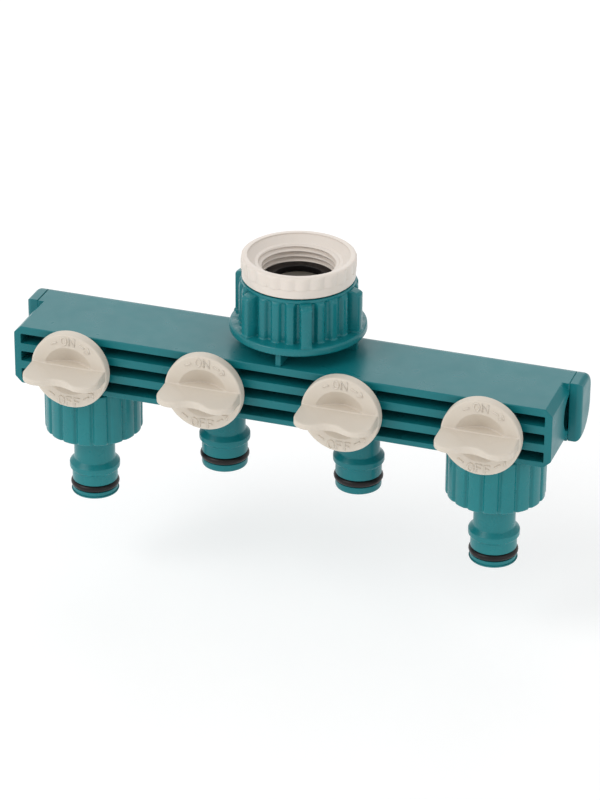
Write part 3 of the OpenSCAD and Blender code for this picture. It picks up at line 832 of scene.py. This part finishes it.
def connectorMesh(s, node):
    low, high = boxMm(node)
    middle = (low + high) / 2
    nutR = (high.x - low.x) / 2
    nutTop = high.z - low.z

    def lobes(angle, r, z):
        place = (math.degrees(angle) * s["lobes"] / 360 + 0.5) % 1 - 0.5
        away = (0.5 - abs(place)) * 2 * math.pi * nutR / s["lobes"]
        crown = s["crown"] * (abs(place) / 0.5) ** 2
        dip = (nutR - s["valleyR"]) * (1 - smoothStep(0, s["valleyHalf"] + 0.5, away))
        fade = smoothStep(s["nutFoot"] - 0.4, s["nutFoot"] + 0.5, z)
        fade *= smoothStep(13.5, 15.2, r)  # only on the outside
        return r - max(crown, dip) * fade, z

    shelf = s["nutFoot"] - s["shelfH"]
    nipple = rounded(nippleCorners(nippleSettings) + [
        (nippleSettings["neckR"], shelf, 0.5), (s["shelfR"], shelf, 0.25),
        (s["shelfR"], s["nutFoot"] - 0.2, 0.4),
        (nutR - 1.5, s["nutFoot"], 0.8), (nutR, s["nutFoot"] + 1.6),
    ])
    outer = rounded([
        (nutR - 1.6, s["nutFoot"]), (nutR, s["nutFoot"] + 0.1, 1.7), (nutR, nutTop, 0.7),
        (s["rootR"] + 0.7, nutTop, 0.3), (s["rootR"], nutTop - 1),
    ])
    inner = rounded([
        (s["rootR"], nutTop - 1), (s["rootR"], s["floor"], 0.2), (s["boreR"], s["floor"], 0.3),
        (s["boreR"], 0, 0.3), (nippleSettings["landR"], 0),
    ])
    rings = rows(nipple[:-1]) + rows(finer(outer, 0.45), lobes) + rows(inner[:-1])
    at = Matrix.Translation((middle.x, middle.y, low.z))
    return turnedMesh("screwed_connector", rings, s["segments"], at)


for side in ("left", "right"):
    node = "tap_connector_" + side
    mesh = connectorMesh(connectorSettings, node)
    piece = finished(draft("screwed_connector_" + side, mesh), sharpAngle=50)
    settle(piece, "manifold", "connector_plastic", tealConnector, node)
print("screwed connectors are made")


# knobs: a disc with a dished face and a hub, and a grip across it with two lobes
knobSettings = {
    "discR": 13.4,
    "discBack": -2.5,  # the origin is on the valve's axis at the body's face
    "discFace": -6.3,
    "hubR": 9.2,
    "hubBack": -1.0,
    "dishR": 8.6,
    "dishDepth": 4.5,
    "dishPower": 1.45,  # under 2, so the bowl is a little pointed at the middle
    "gripFront": -18.1,
    "gripHalf": 13.25,
    "lobeR": 5.5,
    "dip": 2.7,
    "rootT": 4.2,
    "frontT": 2.0,
    "gripEdge": 0.55,
    "tang": (7.1, 2.5),
    # one skin over all of it: how fine, how many smoothing rounds, what share of faces to keep
    "skinStep": 0.19,
    "smoothing": 3,
    "keep": 0.22,
    "letterH": 2.9,
    "letterW": 1.9,
    "letterGap": 0.95,
    "strokeR": 0.32,
    "markR": 11.0,
    "arrowHalf": 1.0,
}


def knobOutline(s):
    # the grip seen from above, from the right root round the front to the left root
    lobeX = s["gripHalf"] - s["lobeR"]
    lobeY = s["gripFront"] + s["lobeR"]
    b = s["lobeR"] - s["dip"]
    dipR = (lobeX ** 2 + b ** 2 - s["lobeR"] ** 2) / (2 * (s["lobeR"] - b))
    dipY = s["gripFront"] + s["dip"] - dipR
    meet = math.atan2(dipY - lobeY, -lobeX)  # direction from the right lobe to the dip's centre
    rootX = s["discR"] - 0.35
    half = [Vector((rootX, s["discBack"] - 0.5)), Vector((rootX, s["discFace"]))]
    last = meet - 2 * math.pi if meet > 0 else meet
    for k in range(21):
        a = last * k / 20
        half.append(Vector((lobeX + s["lobeR"] * math.cos(a), lobeY + s["lobeR"] * math.sin(a))))
    start = math.atan2(lobeY - dipY, lobeX)
    for k in range(1, 9):
        a = start + (math.pi / 2 - start) * k / 8
        half.append(Vector((dipR * math.cos(a), dipY + dipR * math.sin(a))))
    mirrored = [Vector((-p.x, p.y)) for p in reversed(half[:-1])]
    return half + mirrored


def gripMesh(s):
    outline = finer(knobOutline(s), 0.6)
    count = len(outline)
    inward = []
    for i in range(count):
        along = outline[(i + 1) % count] - outline[i - 1]
        inward.append(Vector((along.y, -along.x)).normalized())
    bm = bmesh.new()
    layers = []
    steps = 8
    for side in (-1, 1):
        for k in range(steps + 1):
            a = math.pi / 2 * (k / steps if side > 0 else 1 - k / steps)
            inset = s["gripEdge"] * (1 - math.cos(a))
            layer = []
            for p, normal in zip(outline, inward):
                q = p + normal * inset
                toFront = (s["discFace"] - q.y) / (s["discFace"] - s["gripFront"])
                half = (s["rootT"] + (s["frontT"] - s["rootT"]) * min(max(toFront, 0), 1)) / 2
                height = half - s["gripEdge"] * (1 - math.sin(a))
                layer.append(bm.verts.new((q.x, q.y, side * height)))
            layers.append(layer)
    for lower, upper in zip(layers, layers[1:]):
        for i in range(count):
            j = (i + 1) % count
            bm.faces.new((lower[i], lower[j], upper[j], upper[i]))
    bm.faces.new(list(reversed(layers[0])))
    bm.faces.new(layers[-1])
    bmesh.ops.triangulate(bm, faces=[f for f in bm.faces if len(f.verts) > 4])
    return closedMesh("grip", bm)


def discMesh(s):
    face, back = -s["discFace"], -s["discBack"]
    dish = []
    for k in range(13):
        r = s["dishR"] * k / 12
        dish.append((r, face - s["dishDepth"] * (1 - (r / s["dishR"]) ** s["dishPower"])))
    outline = rounded([
        (s["dishR"] + 0.1, face), (s["discR"], face, 0.8), (s["discR"], back, 0.4),
        (s["hubR"], back, 0.3), (s["hubR"], -s["hubBack"], 0.3), (0, -s["hubBack"]),
    ])
    turn = Matrix.Rotation(math.pi / 2, 4, "X")
    return turnedMesh("disc", rows(dish + outline), 128, turn)


def boxMesh(name, low, high):
    bm = bmesh.new()
    bmesh.ops.create_cube(bm, size=1)
    for v in bm.verts:
        v.co = Vector([low[i] + (v.co[i] + 0.5) * (high[i] - low[i]) for i in range(3)])
    return closedMesh(name, bm)


def strokes(s):
    # raised marks: ON above, OFF below, and an arrow round the rim beside each
    w, h = s["letterW"] / 2, s["letterH"] / 2
    letters = {
        "O": [[(w * math.cos(a * math.pi / 8), h * math.sin(a * math.pi / 8)) for a in range(17)]],
        "N": [[(-w, -h), (-w, h), (w, -h), (w, h)]],
        "F": [[(-w, -h), (-w, h), (w, h)], [(-w, 0.1), (0.6 * w, 0.1)]],
    }
    pitch = s["letterW"] + s["letterGap"]
    lines = []
    for word, z in (("ON", s["markR"]), ("OFF", -s["markR"])):
        for k, letter in enumerate(word):
            x = (k - (len(word) - 1) / 2) * pitch
            lines += [[(x + px, z + pz) for px, pz in line] for line in letters[letter]]
        reach = len(word) * pitch / 2 + 0.6
        up = 1 if z > 0 else -1
        first = math.asin(reach / s["markR"])
        dash = [first + 0.04 + 0.05 * k for k in range(5)]
        for side in (-1, 1):
            arc = [(side * s["markR"] * math.sin(a), up * s["markR"] * math.cos(a)) for a in dash]
            lines.append(arc)
        tip = dash[-1] + 0.2
        for barb in (-s["arrowHalf"], s["arrowHalf"]):
            r, a = s["markR"] + barb, tip - 0.12
            lines.append([
                (r * math.sin(a), up * r * math.cos(a)),
                (s["markR"] * math.sin(tip), up * s["markR"] * math.cos(tip)),
            ])
    return lines


def marksMesh(s):
    curve = bpy.data.curves.new("marks", "CURVE")
    curve.dimensions = "3D"
    curve.bevel_depth = s["strokeR"]
    curve.bevel_resolution = 2
    curve.use_fill_caps = True
    for line in strokes(s):
        spline = curve.splines.new("POLY")
        spline.points.add(len(line) - 1)
        for point, (x, z) in zip(spline.points, line):
            point.co = (x, s["discFace"] - 0.02, z, 1)
    piece = draft("marks", curve)
    depsgraph = bpy.context.evaluated_depsgraph_get()
    bm = bmesh.new()
    bm.from_mesh(bpy.data.meshes.new_from_object(piece.evaluated_get(depsgraph)))
    bpy.data.objects.remove(piece)
    return closedMesh("marks", bm)


def knobMesh(s):
    disc = draft("disc", discMesh(s))
    width, thick = s["tang"]
    low, high = (-width / 2, s["hubBack"] - 10, -thick / 2), (width / 2, 1, thick / 2)
    slot = boxMesh("tang_slot", low, high)
    # the root of the grip fills the dish down to the hub
    low = (-s["dishR"], s["discFace"] - 0.3, -s["rootT"] / 2)
    high = (s["dishR"], s["hubBack"] - 0.3, s["rootT"] / 2)
    root = boxMesh("root", low, high)
    combined(disc, ("UNION", gripMesh(s)), ("UNION", root), ("DIFFERENCE", slot))
    applied(disc, "REMESH", {"mode": "VOXEL", "voxel_size": s["skinStep"]})
    applied(disc, "SMOOTH", {"factor": 0.5, "iterations": s["smoothing"]})
    applied(disc, "DECIMATE", {"ratio": s["keep"]})
    bm = bmesh.new()
    bm.from_mesh(disc.data)
    bm.from_mesh(marksMesh(s))
    mesh = bpy.data.meshes.new("knob")
    bm.to_mesh(mesh)
    bm.free()
    bpy.data.objects.remove(disc)
    mesh.transform(Matrix.Scale(mm, 4))
    mesh.shade_smooth()
    return mesh


knobShape = knobMesh(knobSettings)
for i in range(1, outletCount + 1):
    piece = bpy.data.objects.new(f"valve_knob_{i}", knobShape)
    bpy.context.scene.collection.objects.link(piece)
    piece.location = jointAt[f"knob_{i}_turn"] * mm
    settle(piece, f"valve_{i}", "beige_knob_plastic", beigeKnob, f"knob_{i}")
print("knobs are made")


# inside of the valves: closed in, so they keep the CAD shape and only take a finish
insideFinish = {"valve_plug": acetalPlug, "bonnet": tealBody, "port_seal": blackRubber}
for i in range(1, outletCount + 1):
    for node, material in insideFinish.items():
        inside = frame["nodes"][f"{node}_{i}"]
        inside.data.materials.clear()
        inside.data.materials.append(material)
print("valve parts are made")


# studio: a light table under the part, a white tent and three soft lights
studioSettings = {
    "floorDrop": 30,  # below the tips of the nipples
    "floorSize": 6000,
    "floorShade": 0.86,
    "floorRoughness": 0.9,
    "floorSpecular": 0.1,
    "floorGlow": 0.22,
    "tent": 0.72,
    # where each light stands, its width and how bright its face looks
    "lights": {
        "key": {"at": (-0.9, -0.9, 1.0), "size": 0.9, "glow": 3.2},
        "back": {"at": (-0.5, 1.5, 0.8), "size": 1.3, "glow": 1.0},
        "right": {"at": (1.2, -0.5, 0.5), "size": 0.7, "glow": 1.0},
    },
}


def addStudio(s):
    bpy.context.scene.view_settings.view_transform = "Standard"
    world = bpy.data.worlds.new("tent")
    bpy.context.scene.world = world
    world.use_nodes = True
    background = world.node_tree.nodes["Background"]
    background.inputs["Color"].default_value = (1, 1, 1, 1)
    background.inputs["Strength"].default_value = s["tent"]
    middle = Vector((0, 0, mountAt["outlet_1"].z / 2)) * mm
    for name, light in s["lights"].items():
        data = bpy.data.lights.new(name, "AREA")
        data.size = light["size"]
        data.energy = light["glow"] * math.pi * light["size"] ** 2
        lamp = bpy.data.objects.new(name, data)
        lamp.location = light["at"]
        lamp.rotation_euler = (lamp.location - middle).to_track_quat("Z", "Y").to_euler()
        bpy.context.scene.collection.objects.link(lamp)
    half = s["floorSize"] / 2
    z = boxMm("tap_connector_left")[0].z - s["floorDrop"]
    mesh = bpy.data.meshes.new("floor")
    corners = [(-half, -half, z), (half, -half, z), (half, half, z), (-half, half, z)]
    mesh.from_pydata([Vector(c) * mm for c in corners], [], [(0, 1, 2, 3)])
    floor = bpy.data.objects.new("floor", mesh)
    bpy.context.scene.collection.objects.link(floor)
    material = bpy.data.materials.new("white_light_table")
    material.use_nodes = True
    shader = material.node_tree.nodes["Principled BSDF"]
    shader.inputs["Base Color"].default_value = [s["floorShade"]] * 3 + [1]
    shader.inputs["Roughness"].default_value = s["floorRoughness"]
    shader.inputs["Specular IOR Level"].default_value = s["floorSpecular"]
    shader.inputs["Emission Color"].default_value = (1, 1, 1, 1)
    shader.inputs["Emission Strength"].default_value = s["floorGlow"]
    mesh.materials.append(material)


addStudio(studioSettings)
print("studio is lit")
